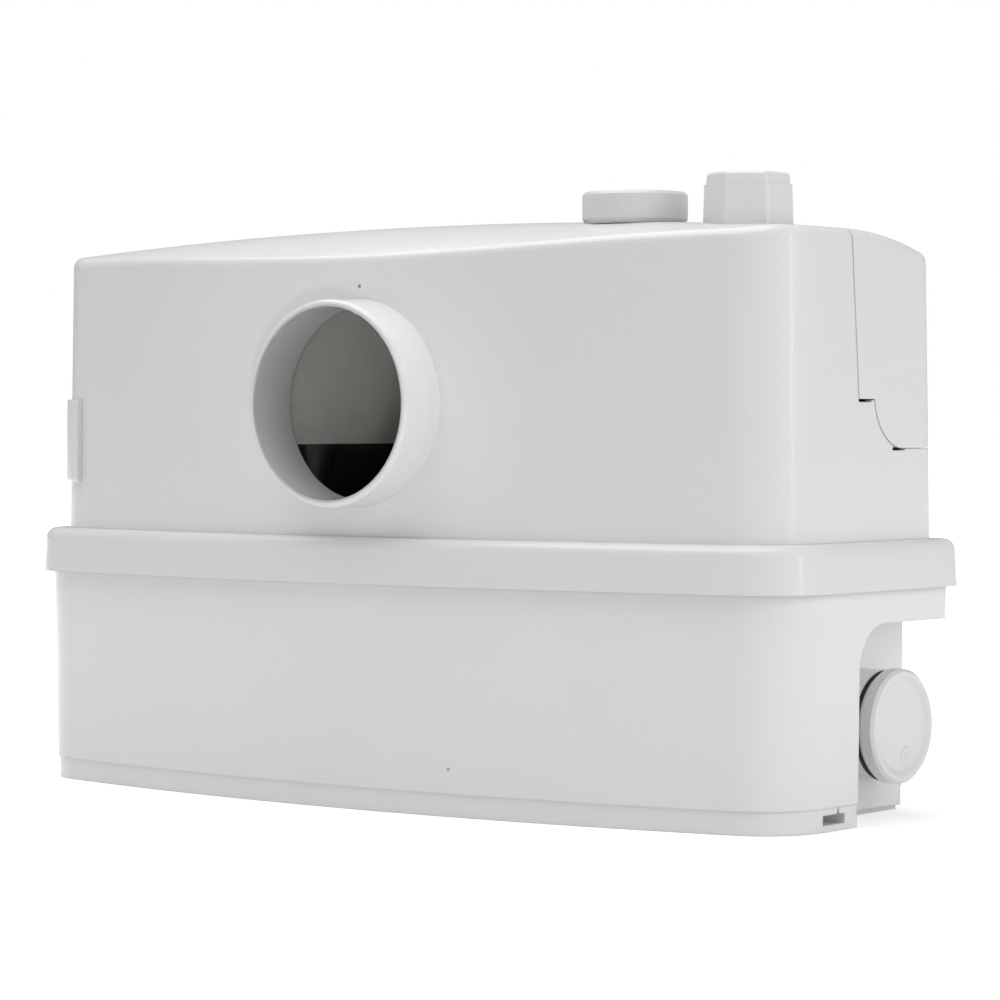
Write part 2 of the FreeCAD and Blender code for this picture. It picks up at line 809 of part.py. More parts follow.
# Caps, washers and the outlet nut
def port_cap(name, x, y, z, axis, radius, tall, stub, washer_top, dish):
    """A screw cap turned about the port's axis, with a chamfered rim and a slightly dished face."""
    body = turned(
        name, ("0", washer_top), (f"{stub} + thread_gap", washer_top), (f"{stub} + thread_gap", "0"),
        (f"{radius} - 2", "0"), (radius, "2.6"), (radius, f"{tall} - 1.6"), (f"{radius} - 1.6", tall),
        (f"{radius} - 4", tall), (f"{radius} - 7", f"{tall} - {dish}"), ("0", f"{tall} - {dish}"))
    body.Placement.Rotation = FreeCAD.Rotation(Z_AXIS, axis)
    place(body, x, y, z)
    return body


def build_caps():
    pieces = [port_cap(
        "top_inlet_cap", "top_port_x", "port_row_y", "top_cap_base", Z_AXIS, "top_cap_radius", "cap_height",
        "port_stub", "top_port_height + washer_thick - top_cap_base", "0.8")]
    pieces.append(tube("top_inlet_washer", "port_stub - clearance", "port_bore", "washer_thick", "top_port_x",
                       "port_row_y", "top_port_height"))
    for side, word in ((1, "right"), (-1, "left")):
        axis = X_AXIS * side
        base = "side_cap_base" if side > 0 else "-side_cap_base"
        pieces.append(port_cap(
            f"{word}_inlet_cap", base, "side_port_depth", "side_port_height", axis, "side_cap_radius",
            "side_cap_height", "side_stub", "side_stub_reach + washer_thick - side_cap_base", "1.6"))
        reach = "side_stub_reach" if side > 0 else "-side_stub_reach"
        pieces.append(tube(f"{word}_inlet_washer", "side_stub - clearance", "port_bore", "washer_thick",
                           reach, "side_port_depth", "side_port_height", axis))
    return pieces


def build_outlet():
    nut = new_body("discharge_nut")

    def hexagon(across):
        half, flat = f"({across}) / 2", f"({across}) * cos(30)"

        def draw(sketch):
            return outline(sketch, ("0", f"-({across})"), (flat, f"-({half})"), (flat, half), ("0", across),
                           (f"-({flat})", half), (f"-({flat})", f"-({half})"))
        return draw
    pad(nut, "XY_Plane", "nut_band", hexagon("nut_corners / 2"), TaperAngle="-nut_taper")
    band = "nut_corners / 2 - nut_band * tan(nut_taper) - nut_band_inset"
    pad(nut, "XY_Plane", "nut_height - nut_band", hexagon(band), lift="nut_band",
        TaperAngle="-nut_band_taper")
    round_edges(nut, "nut_corner_round", upright)
    top = size("nut_height")
    round_edges(nut, "nut_chamfer", lambda edge: edge.CenterOfMass.z > top - 0.1, "Chamfer")
    thread_top = "outlet_stub_height + washer_thick - nut_base"
    pocket(nut, "XY_Plane", thread_top, lambda sketch: sketch_circle(sketch, "0", "0",
           "outlet_stub + thread_gap"), Reversed=True)
    pocket(nut, "XY_Plane", "nut_height + 1", lambda sketch: sketch_circle(sketch, "0", "0",
           "outlet_pipe_radius"), Reversed=True)
    place(nut, "outlet_x", "port_row_y", "nut_base")
    seal = tube("discharge_seal", "outlet_stub - clearance", "outlet_bore", "washer_thick", "outlet_x",
                "port_row_y", "outlet_stub_height")
    return [nut, seal]


def sketch_circle(sketch, x, y, radius):
    circle(sketch, x, y, radius)
    doc.recompute()
    return sketch


def build_discharge():
    """The pipe from the pump, the check valve with its flap and pin, and the riser to the outlet stub."""
    pipe = new_body("discharge_pipe")
    start, bend = "motor_x + volute_outlet - pipe_socket", "pipe_bend"
    path = new_sketch(pipe, "XZ_Plane", "Route", lift="-port_row_y")
    corner_x, corner_z = f"outlet_x - {bend}", f"pipe_level + {bend}"
    points = [(start, "pipe_level"), (corner_x, "pipe_level"), ("outlet_x", corner_z),
              ("outlet_x", "valve_low + spare")]
    spots = [Vector(size(x), size(z), 0) for x, z in points]
    middle = Vector(size(corner_x), size(corner_z), 0) + Vector(1, -1, 0).normalize() * size(bend)
    path.addGeometry(Part.LineSegment(spots[0], spots[1]), False)
    path.addGeometry(Part.Arc(spots[1], middle, spots[2]), False)
    path.addGeometry(Part.LineSegment(spots[2], spots[3]), False)
    for edge, first, second in ((0, 0, 1), (2, 2, 3)):
        pin_point(path, edge, 1, *points[first])
        pin_point(path, edge, 2, *points[second])
    doc.recompute()
    for kind, radius in (("AdditivePipe", "pipe_radius"), ("SubtractivePipe", "pipe_bore")):
        ring = new_sketch(pipe, "YZ_Plane", "Ring", lift=start)
        sketch_circle(ring, "port_row_y", "pipe_level", radius)
        sweep = pipe.newObject("PartDesign::" + kind, kind)
        sweep.Profile, sweep.Spine = ring, (path, ["Edge1", "Edge2", "Edge3"])
        doc.recompute()
    valve = turned(
        "check_valve_shell", ("pipe_radius + fit", "0"), ("valve_radius - 4", "0"), ("valve_radius", "4"),
        ("valve_radius", "valve_height - valve_joint"), ("riser_radius + 3", "valve_height"),
        ("riser_radius + fit", "valve_height"), ("riser_radius + fit", "valve_height - valve_joint"),
        ("riser_bore", "valve_height - valve_joint"), ("riser_bore", "valve_height - 11"),
        ("valve_radius - valve_wall", "valve_height - 14"), ("valve_radius - valve_wall", "valve_seat"),
        ("pipe_bore", "valve_seat"), ("pipe_bore", "spare"), ("pipe_radius + fit", "spare"))
    place(valve, "outlet_x", "port_row_y", "valve_low")
    hinge_x, hinge_z = "outlet_x - flap_arm", "valve_low + valve_seat + flap_pivot_lift"
    lugs = []
    for number, edge in enumerate(("port_row_y - 6.2 - valve_lug", "port_row_y + 6.2")):
        lugs.append(box(f"valve_lug_{number}", f"{hinge_x} - 2.6", edge, "valve_low + valve_seat - 1",
                        f"{hinge_x} + 2.2", f"{edge} + valve_lug", f"{hinge_z} + 2.2"))
    body = fuse("check_valve_solid", valve, *lugs)
    pin_hole = cross_pin("valve_pin_through", "pin_radius", "valve_pin_hole", hinge_x, "port_row_y", hinge_z)
    body = cut("check_valve_body", body, pin_hole)
    pin = cross_pin("check_valve_pin", "pin_radius - pin_bed", "valve_pin", hinge_x, "port_row_y", hinge_z)
    disc = cylinder("valve_disc", "valve_flap_radius", "2.6", "outlet_x", "port_row_y",
                    "valve_low + valve_seat + clearance")
    arm = box("valve_arm", hinge_x, "port_row_y - 3.5", "valve_low + valve_seat + clearance + 0.4",
              "outlet_x - 8", "port_row_y + 3.5", "valve_low + valve_seat + clearance + 2.6")
    barrel = cross_pin("valve_hub", "pin_radius + 1.1", "valve_barrel", hinge_x, "port_row_y", hinge_z)
    eye = cross_pin("valve_eye", "pin_radius + pin_play", "valve_pin_hole", hinge_x, "port_row_y", hinge_z)
    flap = cut("check_valve_flap", fuse("valve_flap_solid", disc, arm, barrel), eye)
    riser_low = "valve_low + valve_height - valve_joint"
    riser = tube("discharge_riser", "riser_radius", "riser_bore", f"riser_top - ({riser_low})", "outlet_x",
                 "port_row_y", riser_low)
    return [pipe, body, pin, flap, riser]


# Flap valves inside the side inlets
def build_side_flaps():
    pieces = []
    for side, word in ((1, "right"), (-1, "left")):
        axis = X_AXIS * -side
        sign = "" if side > 0 else "-"
        wall = "(recess_wall - wall - clearance)"
        pivot_x, pivot_z = "(recess_wall - wall - side_pivot_out)", "side_port_height + side_pivot_up"
        disc = cylinder(f"{word}_disc", "side_flap_radius", "side_flap_thick", f"{sign}{wall}",
                        "side_port_depth", "side_port_height", axis)
        arm = side_box(
            f"{word}_arm", side, f"{wall} - side_flap_thick", wall, "side_port_depth - side_arm_half",
            "side_port_height", "side_port_depth + side_arm_half", pivot_z)
        barrel = cross_pin(f"{word}_barrel", "pin_radius + 1.3", "side_barrel", f"{sign}{pivot_x}",
                           "side_port_depth", pivot_z)
        eye = cross_pin(f"{word}_eye", "pin_radius + pin_play", "side_pin_hole", f"{sign}{pivot_x}",
                        "side_port_depth", pivot_z)
        pieces.append(cut(f"{word}_inlet_flap", fuse(f"{word}_flap_solid", disc, arm, barrel), eye))
        pieces.append(cross_pin(f"{word}_flap_pin", "pin_radius - pin_bed", "side_pin", f"{sign}{pivot_x}",
                                "side_port_depth", pivot_z))
    return pieces


def flap_lugs(side, word):
    """Two ears on the tank wall for a flap's pin, and the hole through them."""
    sign = "" if side > 0 else "-"
    pivot_x, pivot_z = "(recess_wall - wall - side_pivot_out)", "side_port_height + side_pivot_up"
    ears = []
    edges = ("side_port_depth - ear_near - ear_thick", "side_port_depth + ear_near")
    for number, edge in enumerate(edges):
        ears.append(side_box(f"{word}_ear_{number}", side, f"{pivot_x} - ear_half", "recess_wall - 1", edge,
                             f"{pivot_z} - ear_half", f"{edge} + ear_thick", f"{pivot_z} + ear_half"))
    hole = cross_pin(f"{word}_ear_hole", "pin_radius", "side_pin_hole", f"{sign}{pivot_x}", "side_port_depth",
                     pivot_z)
    return ears, hole


# Pump, macerator and motor on one upright axis
def spiral(sketch, grow):
    """The volute plan: four arcs that open out towards a straight throat along +X."""
    throat = "volute_throat"
    low, high = f"port_row_y - ({throat}) / 2 - ({grow})", f"port_row_y + ({throat}) / 2 + ({grow})"
    east, north, west = f"(volute_small + {grow})", f"(volute_small + volute_step + {grow})", \
        f"(volute_small + 2.2 * volute_step + {grow})"
    south = f"(-({low}))"
    cutwater = f"(volute_small * 0.45 + {grow})"

    def rise(one, two):
        return f"0.2071 * sqrt({one}^2 + {two}^2)"
    return outline(
        sketch, ("volute_outlet", low), ("volute_outlet", high), (cutwater, high), (east, "0", "2.5"),
        ("0", north, rise(east, north)), (f"-{west}", "0", rise(north, west)), ("0", low, rise(west, south)))


def build_volute():
    body = new_body("volute_casing")
    pad(body, "XY_Plane", "volute_height", lambda sketch: spiral(sketch, "volute_wall"))
    pocket(body, "XY_Plane", "volute_height - 2 * volute_plate", lambda sketch: spiral(sketch, "0"),
           lift="volute_plate", Reversed=True)
    pocket(body, "XY_Plane", "volute_plate + 2", lambda sketch: sketch_circle(sketch, "0", "0", "volute_eye"),
           lift="volute_height - volute_plate - 1", Reversed=True)
    place(body, "motor_x", 0, "volute_low")
    nozzle = cylinder("nozzle", "pipe_radius + 3.2", "pipe_socket", "motor_x + volute_outlet - 0.5",
                      "port_row_y", "pipe_level", X_AXIS)
    feet = []
    for number in range(3):
        angle = 60 + 120 * number
        feet.append(cylinder(f"volute_foot_{number}", "volute_foot", "volute_low - tank_floor",
                             f"motor_x + volute_small * cos({angle})", f"volute_small * sin({angle})",
                             "tank_floor"))
    socket = cylinder("nozzle_bore", "pipe_radius + fit", "pipe_socket + past",
                      "motor_x + volute_outlet - pipe_socket - 0.2", "port_row_y", "pipe_level", X_AXIS)
    return cut("pump_volute", fuse("volute_solid", body, nozzle, *feet), socket)


def polar_copies(body, item, count, name="Copies"):
    pattern = body.newObject("PartDesign::PolarPattern", name)
    pattern.Originals = [item]
    pattern.Axis = ([f for f in body.Origin.OriginFeatures if f.Role == "Z_Axis"][0], [""])
    pattern.Angle = 360.0
    pattern.Occurrences = count
    body.Tip = pattern
    doc.recompute()
    return pattern


def build_impeller():
    body = turned(
        "impeller", ("shaft_radius", "0"), ("impeller_radius", "0"), ("impeller_radius", "2.4"),
        ("impeller_hub + 3", "4"), ("impeller_hub", "impeller_height"), ("shaft_radius", "impeller_height"))
    base = body.Tip

    def vane(sketch):
        return outline(
            sketch, ("impeller_hub - 1", "-1.2"), ("impeller_radius - 1", "7", "-3.4"),
            ("impeller_radius - 2.2", "9.6"), ("impeller_hub - 1", "1.4", "3.0"))
    blade = pad(body, "XY_Plane", "impeller_height - 3", vane, lift="1")
    polar_copies(body, blade, 7)
    place(body, "motor_x", 0, "volute_low + volute_plate + impeller_gap")
    return body


def build_cutter():
    body = turned(
        "macerator_cutter", ("shaft_radius", "0"), ("cutter_hub", "0"),
        ("cutter_hub", "cutter_tall - 3"), ("cutter_hub - 3", "cutter_tall"), ("shaft_radius", "cutter_tall"))

    def knife(sketch):
        return outline(
            sketch, ("cutter_hub - 2", "-5"), ("cutter_radius", "-2.5", "-2"), ("cutter_radius - 3", "4"),
            ("cutter_hub - 2", "5"))
    blade = pad(body, "XY_Plane", "cutter_blade", knife, lift="cutter_blade")
    polar_copies(body, blade, 4)
    place(body, "motor_x", 0, "basket_low + basket_wall + 4")
    return body


def build_basket():
    """The slotted basket between inlet and pump: an open tray with slots in its long sides and floor."""
    body = new_body("slotted_basket")
    left, right, half = "basket_left", "basket_right", "basket_half"

    def tray(grow):
        return lambda sketch: rectangle(sketch, f"{left} + ({grow})", f"-{half} + ({grow})",
                                        f"{right} - ({grow})", f"{half} - ({grow})")
    pad(body, "XY_Plane", "basket_height", tray("0"), lift="basket_low")
    round_edges(body, "basket_corner", upright)
    inner = pocket(body, "XY_Plane", "basket_height", tray("basket_wall"), lift="basket_low + basket_wall",
                   Reversed=True)
    shaft_gap = pocket(body, "XY_Plane", "basket_wall + 2",
                       lambda sketch: sketch_circle(sketch, "motor_x", "0", "shaft_radius + 3"),
                       lift="basket_low - 1", Reversed=True)
    slot_low, slot_high = "basket_low + side_slot_low", "basket_low + basket_height - side_slot_high"
    first = f"{left} + basket_corner + 4"
    side_slot = pocket(body, "XZ_Plane", "2 * basket_half + 4",
                       lambda sketch: rectangle(sketch, first, slot_low, f"{first} + slot_width", slot_high),
                       Midplane=True)
    repeat_along(body, side_slot, "X_Axis", "basket_right - basket_left - 3 * basket_corner", "slot_count")
    floor_slot = pocket(body, "XY_Plane", "basket_wall + 2",
                        lambda sketch: rectangle(
                            sketch, "basket_right - floor_slot_start", "floor_slot_inset - basket_half",
                            "slot_width + basket_right - floor_slot_start", "basket_half - floor_slot_inset"),
                        lift="basket_low - 1", Reversed=True)
    repeat_along(body, floor_slot, "X_Axis", "floor_slot_run", "floor_slot_count")
    return body


def repeat_along(body, item, role, length, count):
    pattern = body.newObject("PartDesign::LinearPattern", "Row")
    pattern.Originals = [item]
    pattern.Direction = ([f for f in body.Origin.OriginFeatures if f.Role == role][0], [""])
    pattern.setExpression("Length", formula(length))
    pattern.setExpression("Occurrences", formula(count))
    body.Tip = pattern
    doc.recompute()
    return pattern


def build_motor():
    """Motor can, end cap, stator, rotor core on its shaft, two bearings and the shaft seal."""
    low = "deck_low + deck_thick + mount_thick"
    can = turned(
        "motor_can", ("seal_radius", "-seal_drop"), ("seal_radius + bearing_wall", "-seal_drop"),
        ("seal_radius + bearing_wall", "0"), ("motor_radius", "0"), ("motor_radius", "motor_height"),
        ("motor_radius - motor_wall", "motor_height"), ("motor_radius - motor_wall", "motor_floor"),
        ("bearing_radius + bearing_wall", "motor_floor"),
        ("bearing_radius + bearing_wall", "bearing_height + motor_floor"),
        ("bearing_radius + fit", "bearing_height + motor_floor"), ("bearing_radius + fit", "motor_floor"),
        ("seal_radius", "motor_floor"))
    cap = turned(
        "motor_end_cap", ("0", "cap_deep"), ("bearing_radius + fit", "cap_deep"),
        ("bearing_radius + fit", "0"), ("bearing_radius + bearing_wall", "0"),
        ("bearing_radius + bearing_wall", "cap_deep - motor_wall"),
        ("motor_radius - 2 * motor_wall", "cap_deep - motor_wall"), ("motor_radius - 2 * motor_wall", "0"),
        ("motor_radius", "0"), ("motor_radius", "cap_deep - motor_floor"),
        ("motor_radius - 6", "cap_deep + motor_floor"), ("0", "cap_deep + motor_floor"))
    place(can, "motor_x", 0, low)
    place(cap, "motor_x", 0, f"{low} + motor_height")
    stator = tube("motor_stator", "motor_radius - motor_wall - fit", "rotor_radius + 0.5", "stator_height",
                  "motor_x", 0, f"{low} + stator_lift")
    rotor = tube("rotor_core", "rotor_radius", "shaft_radius", "stator_height", "motor_x", 0,
                 f"{low} + stator_lift")
    shaft_low = "volute_low + volute_plate + impeller_gap"
    top = f"{low} + motor_height + cap_deep - 0.5"
    shaft = cylinder("rotor_shaft", "shaft_radius", f"{top} - ({shaft_low})", "motor_x", 0, shaft_low)
    lower = tube("lower_bearing", "bearing_radius", "shaft_radius + running", "bearing_height", "motor_x", 0,
                 f"{low} + motor_floor")
    upper = tube("upper_bearing", "bearing_radius", "shaft_radius + running", "bearing_height", "motor_x", 0,
                 f"{low} + motor_height + cap_deep - bearing_height")
    seal = tube("shaft_seal", "seal_radius", "shaft_radius + running", "seal_drop - 2", "motor_x", 0,
                f"{low} - seal_drop + 1")
    mount = tube("motor_mount_ring", "motor_radius - 1", "deck_motor_hole", "mount_thick", "motor_x", 0,
                 "deck_low + deck_thick")
    return [can, cap, stator, rotor, shaft, lower, upper, seal, mount]


# The deck between wet tank and dry hood, and what stands on it
def build_deck():
    deck = moulded_block(
        "deck_block", "deck_low", "deck_low + deck_thick", "tank_width / 2 - wall - plinth_inset + deck_fit",
        "tank_front - wall - plinth_inset + deck_fit", "tank_back - wall - plinth_inset + deck_fit", 0,
        "tank_corner - wall", "rear_corner - wall")
    holes = [cylinder("deck_motor_opening", "seal_radius + 3.4", "deck_thick + 2", "motor_x", 0,
                      "deck_low - 1"),
             cylinder("deck_pipe_opening", "pipe_radius + clearance", "deck_thick + 2", "outlet_x",
                      "port_row_y", "deck_low - 1"),
             cylinder("deck_top_port", "port_bore", "deck_thick + 2", "top_port_x", "port_row_y",
                      "deck_low - 1"),
             cylinder("deck_dip_opening", "dip_radius + fit", "deck_thick + 2", "switch_x", "switch_y",
                      "deck_low - 1"),
             cylinder("deck_vent_opening", "vent_radius - 4", "deck_thick + 2", "vent_x", "vent_y",
                      "deck_low - 1"),
             box("deck_chute_opening", "chute_wall - chute_half", "chute_wall - chute_half", "deck_low - 1",
                 "chute_half - chute_wall", "chute_half - chute_wall", "deck_low + deck_thick + 1")]
    screws = []
    for number, (x, y) in enumerate(screw_places()):
        holes.append(cylinder(f"deck_screw_hole_{number}", "screw_radius + fit", "deck_thick + 2", x, y,
                              "deck_low - 1"))
        head = cylinder(f"screw_head_{number}", "screw_head", "screw_head_thick", x, y,
                        "deck_low + deck_thick")
        shank = cylinder(f"screw_shank_{number}", "screw_radius", "deck_thick + screw_bite", x, y,
                         "deck_low - screw_bite")
        screws.append(fuse(f"screw_{number}", head, shank))
    group = doc.addObject("Part::Compound", "deck_screws")
    group.Label = "deck_screws"
    group.Links = screws
    doc.recompute()
    return [cut("deck_plate", deck, *holes), group]


def screw_places():
    return [("recess_wall + screw_inset", "screw_near"), ("recess_wall + screw_inset", "screw_far"),
            ("-(recess_wall + screw_inset)", "screw_near"), ("-(recess_wall + screw_inset)", "screw_far")]


def build_chute():
    """The open chute that leads waste from the inlet down through the deck into the basket."""
    body = new_body("inlet_chute")
    base = "deck_low + deck_thick"
    pad(body, "XY_Plane", "chute_flange", lambda sketch: rectangle(
        sketch, "-chute_half - chute_rim", "-chute_half - chute_rim", "chute_half + chute_rim",
        "chute_half + chute_rim"), lift=base)
    pad(body, "YZ_Plane", "2 * chute_half", lambda sketch: outline(
        sketch, ("-chute_half", base), ("chute_half", base), ("chute_half", "chute_back"),
        ("chute_ramp - chute_half", "chute_back"), ("-chute_half", "chute_front")), Midplane=True)
    round_edges(body, "chute_corner", upright)
    pocket(body, "XY_Plane", "chute_back - deck_low + 2", lambda sketch: rectangle(
        sketch, "chute_wall - chute_half", "chute_wall - chute_half", "chute_half - chute_wall",
        "chute_half - chute_wall"), lift="deck_low", Reversed=True)
    return body


def build_shroud():
    """The guard on the chute that keeps splashes from the motor: open below and towards the inlet."""
    body = new_body("inlet_shroud")
    pad(body, "XY_Plane", "shroud_top - chute_back", lambda sketch: rectangle(
        sketch, "-chute_half", "-shroud_front", "chute_half", "chute_half"), lift="chute_back")
    round_edges(body, "chute_corner", lambda edge: upright(edge) and edge.CenterOfMass.y > 0)
    pocket(body, "XY_Plane", "shroud_top - chute_back - chute_wall", lambda sketch: rectangle(
        sketch, "chute_wall - chute_half", "-2 * shroud_front", "chute_half - chute_wall",
        "chute_half - chute_wall"), lift="chute_back", Reversed=True)
    return body


def build_controls():
    top = "deck_low + deck_thick"
    box_low = new_body("control_box")
    pad(box_low, "XY_Plane", "control_height", lambda sketch: rectangle(
        sketch, "control_left", "control_front", "control_right", "control_back"), lift=top)
    round_edges(box_low, "control_corner", upright)
    pocket(box_low, "XY_Plane", "control_height", lambda sketch: rectangle(
        sketch, "control_left + control_wall", "control_front + control_wall",
        "control_right - control_wall", "control_back - control_wall"),
        lift=f"{top} + control_wall", Reversed=True)
    lid = new_body("control_lid")
    pad(lid, "XY_Plane", "control_lid", lambda sketch: rectangle(
        sketch, "control_left", "control_front", "control_right", "control_back"),
        lift=f"{top} + control_height")
    round_edges(lid, "control_corner", upright)
    lid_top = size(f"{top} + control_height + control_lid")
    round_edges(lid, "1.2", lambda edge: edge.CenterOfMass.z > lid_top - 0.1)
    capacitor = turned(
        "start_capacitor", ("0", "0"), ("capacitor_radius - 1.5", "0"), ("capacitor_radius", "1.5"),
        ("capacitor_radius", "capacitor_height - 4"), ("capacitor_radius - 2", "capacitor_height - 3"),
        ("capacitor_radius - 2", "capacitor_height"), ("0", "capacitor_height"))
    place(capacitor, "capacitor_x", "capacitor_y", f"{top} + clip_floor")
    clip = turned(
        "capacitor_clip", ("0", "0"), ("capacitor_radius + clip_wall", "0"),
        ("capacitor_radius + clip_wall", "clip_height"), ("capacitor_radius + fit", "clip_height"),
        ("capacitor_radius + fit", "clip_floor"), ("0", "clip_floor"))
    place(clip, "capacitor_x", "capacitor_y", top)
    collar = "deck_low + deck_thick - dip_low"
    dip = turned(
        "dip_tube", ("dip_radius - dip_wall", "0"), ("dip_radius", "0"), ("dip_radius", collar),
        ("dip_radius + dip_collar", collar), ("dip_radius + dip_collar", f"{collar} + dip_collar_thick"),
        ("dip_radius - dip_wall", f"{collar} + dip_collar_thick"))
    place(dip, "switch_x", "switch_y", "dip_low")
    switch = turned(
        "pressure_switch", ("0", "0"), ("switch_radius - 2", "0"), ("switch_radius", "2"),
        ("switch_radius", "12"), ("switch_radius - 6", "switch_height"),
        ("plunger_radius + running", "switch_height"), ("plunger_radius + running", "switch_well"),
        ("0", "switch_well"))
    place(switch, "switch_x", "switch_y", f"{top} + switch_lift")
    plunger = cylinder("switch_plunger", "plunger_radius", "switch_height - 1", "switch_x", "switch_y",
                       f"{top} + switch_lift + switch_well + clearance")
    vent = turned(
        "vent_filter", ("0", "vent_ceiling"), ("vent_radius - vent_wall", "vent_ceiling"),
        ("vent_radius - vent_wall", "0"), ("vent_radius", "0"), ("vent_radius", "4"),
        ("vent_radius - 3", "5"), ("vent_radius - 3", "vent_height - 3"), ("vent_radius - 6", "vent_height"), ("0", "vent_height"))
    place(vent, "vent_x", "vent_y", top)
    gland = turned(
        "cable_gland", ("gland_bore", "0"), ("gland_neck", "0"), ("gland_neck", "gland_inside"),
        ("gland_radius + 1.5", "gland_inside"), ("gland_radius + 1.5", "gland_inside + 4"),
        ("gland_radius - 1", "gland_inside + 4.6"), ("gland_bore + 2", "gland_inside + gland_out"),
        ("gland_bore", "gland_inside + gland_out"))
    gland.Placement.Rotation = FreeCAD.Rotation(Z_AXIS, Y_AXIS)
    place(gland, "gland_x", "hood_back - gland_inside", "gland_z")
    return [box_low, lid, capacitor, clip, dip, switch, plunger, vent, gland]


def build_tank_seal():
    outer = moulded_block(
        "seal_block", "tank_rim_height", "tank_rim_height + seal_height", "tank_width / 2 + seal_grow",
        "tank_front + seal_grow", "tank_back + seal_grow", 0, "tank_corner", "rear_corner")
    inner = moulded_block(
        "seal_hollow", "tank_rim_height - 1", "tank_rim_height + seal_height + 1",
        "tank_width / 2 + seal_grow - wall",
        "tank_front + seal_grow - wall", "tank_back + seal_grow - wall", 0, "tank_corner - wall",
        "rear_corner - wall")
    return cut("tank_seal", outer, inner)


def build_all():
    parts = list(build_shells())
    parts.append(build_tank_seal())
    parts += build_caps() + build_outlet() + build_discharge() + build_side_flaps()
    parts += [build_volute(), build_impeller(), build_cutter(), build_basket()]
    parts += build_motor() + build_deck() + [build_chute(), build_shroud()] + build_controls()
    return parts


def check_and_write(parts):
    doc.recompute()
    faults = [f"{item.Label}: {item.State}" for item in doc.Objects
              if any(word in ("Invalid", "Error") for word in item.State)]
    for part in parts:
        if part.Shape.isNull() or not part.Shape.isValid():
            faults.append(f"{part.Label}: shape not valid")
    if faults:
        raise RuntimeError("; ".join(faults))
    for part in parts:
        part.Shape.exportStep(f"parts/{part.Label}.step")
        print(part.Label, len(part.Shape.Solids), round(part.Shape.Volume))


fill_sheet()
check_and_write(build_all())
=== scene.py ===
import bpy
import json
import math
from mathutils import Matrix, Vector


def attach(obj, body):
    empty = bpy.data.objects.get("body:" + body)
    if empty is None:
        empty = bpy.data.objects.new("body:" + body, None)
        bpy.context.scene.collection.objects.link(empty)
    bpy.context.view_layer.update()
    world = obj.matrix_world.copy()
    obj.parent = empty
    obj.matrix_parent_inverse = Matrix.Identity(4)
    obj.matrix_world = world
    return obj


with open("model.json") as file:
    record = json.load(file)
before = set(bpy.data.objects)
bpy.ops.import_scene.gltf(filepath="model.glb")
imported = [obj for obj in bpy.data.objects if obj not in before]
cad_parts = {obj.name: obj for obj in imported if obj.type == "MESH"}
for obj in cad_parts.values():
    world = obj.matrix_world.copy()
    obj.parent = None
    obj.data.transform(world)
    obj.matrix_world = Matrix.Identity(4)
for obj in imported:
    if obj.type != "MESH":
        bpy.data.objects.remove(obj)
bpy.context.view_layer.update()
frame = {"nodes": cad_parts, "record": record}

# Viewpoint, fitted to the photograph, in metres and degrees
CAMERA_PLACE = (1.2509, -1.5708, 0.2088)
CAMERA_TURN = 38.04
CAMERA_TILT = 1.31
LENS_MM = 130.45
SENSOR_MM = 36.0

# Lamps: name, place, aim, width, height and watts, and what differs from a plain lamp
LAMPS = (
    (("key_above", (-0.3, -0.3, 1.9), (0, 0, 0.15), 2.2, 1.8, 27), {}),
    (("fill_right", (2.2, -0.05, 0.9), (0, 0, 0.15), 1.6, 1.6, 15.5),
     {"colour": (1, 0.995, 0.965), "mirrored": False}),
    (("corner_strip", (2.75, 0.0, 0.75), (0.25, -0.08, 0.2), 0.03, 1.2, 3), {"lit": False}),
    (("inlet_spot", (0.62, -0.84, 0.04), (-0.005, -0.1, 0.225), 0.04, 0.04, 0.006),
     {"mirrored": False, "spread": 12}),
)

# Floor and sky: distances in metres, then shares of white
FLOOR_HALF = 30.0
FLOOR_COLOUR = (0.9, 0.9, 0.9)
FLOOR_FADE = (0.35, 1.3)
FLOOR_GLOW = (0.40, 1.0)
SKY_COLOUR = (0.97, 0.985, 1)
SKY_STRENGTH = 0.40

# Surfaces: the noise values between which the tone changes, shares and strengths, then lengths in metres
TONE_RANGE = (0.3, 0.7)
GLOSS_SWING = 0.12
COAT_ROUGHNESS = 0.08
GRAIN_STRENGTH = 0.25
BEVEL_SAMPLES = 6
SOFT_EDGE = 0.0015
RIDGE_PITCH = 0.0013

# The painted shadow inside the inlet's bore, a darker colour where shade falls: the middle of its end, how much
# each direction counts in the distance from there, the distances between which the painted shadow fades out, and
# the share of the colour that it leaves
BORE_END = (0, -0.1195, 0.216)
BORE_SQUEEZE = (1, 0.3, 1)
BORE_FADE = (0.0521, 0.0529)
BORE_SHADOW_SHARE = 0.72

# Moulding marks as (radius, height) from rim to middle, and where each is cast onto its surface
GATE_PROFILE = ((0.0011, -0.00005), (0.00095, 0.00012), (0.0005, 0.00004), (0.0002, 0.00016), (0, 0.00018))
BOSS_PROFILE = ((0.0058, -0.0001), (0.0054, 0.0003), (0.0046, 0.0004), (0.0030, 0.0001), (0.0020, -0.00015),
                (0.0012, 0.0002), (0.0005, 0.0007), (0, 0.0008))
HOOD_GATE = (0.001, -0.3, 0.2785)
TANK_GATE = (0.067, -0.3, 0.025)
BOSS_START = (0.4, 0.045, 0.0316)
BOSS_LIFT = 0.0001
LATHE_STEPS = 32

# A dark ring with the rubber finish in the gap behind a side cap, a dark piece that stands in for the shade in that
# gap
RING_RADII = (0.0262, 0.0287)
RING_SPAN = (0.24503, 0.24697)
RING_CENTRE = (0.040, 0.048)
RING_STEPS = 64


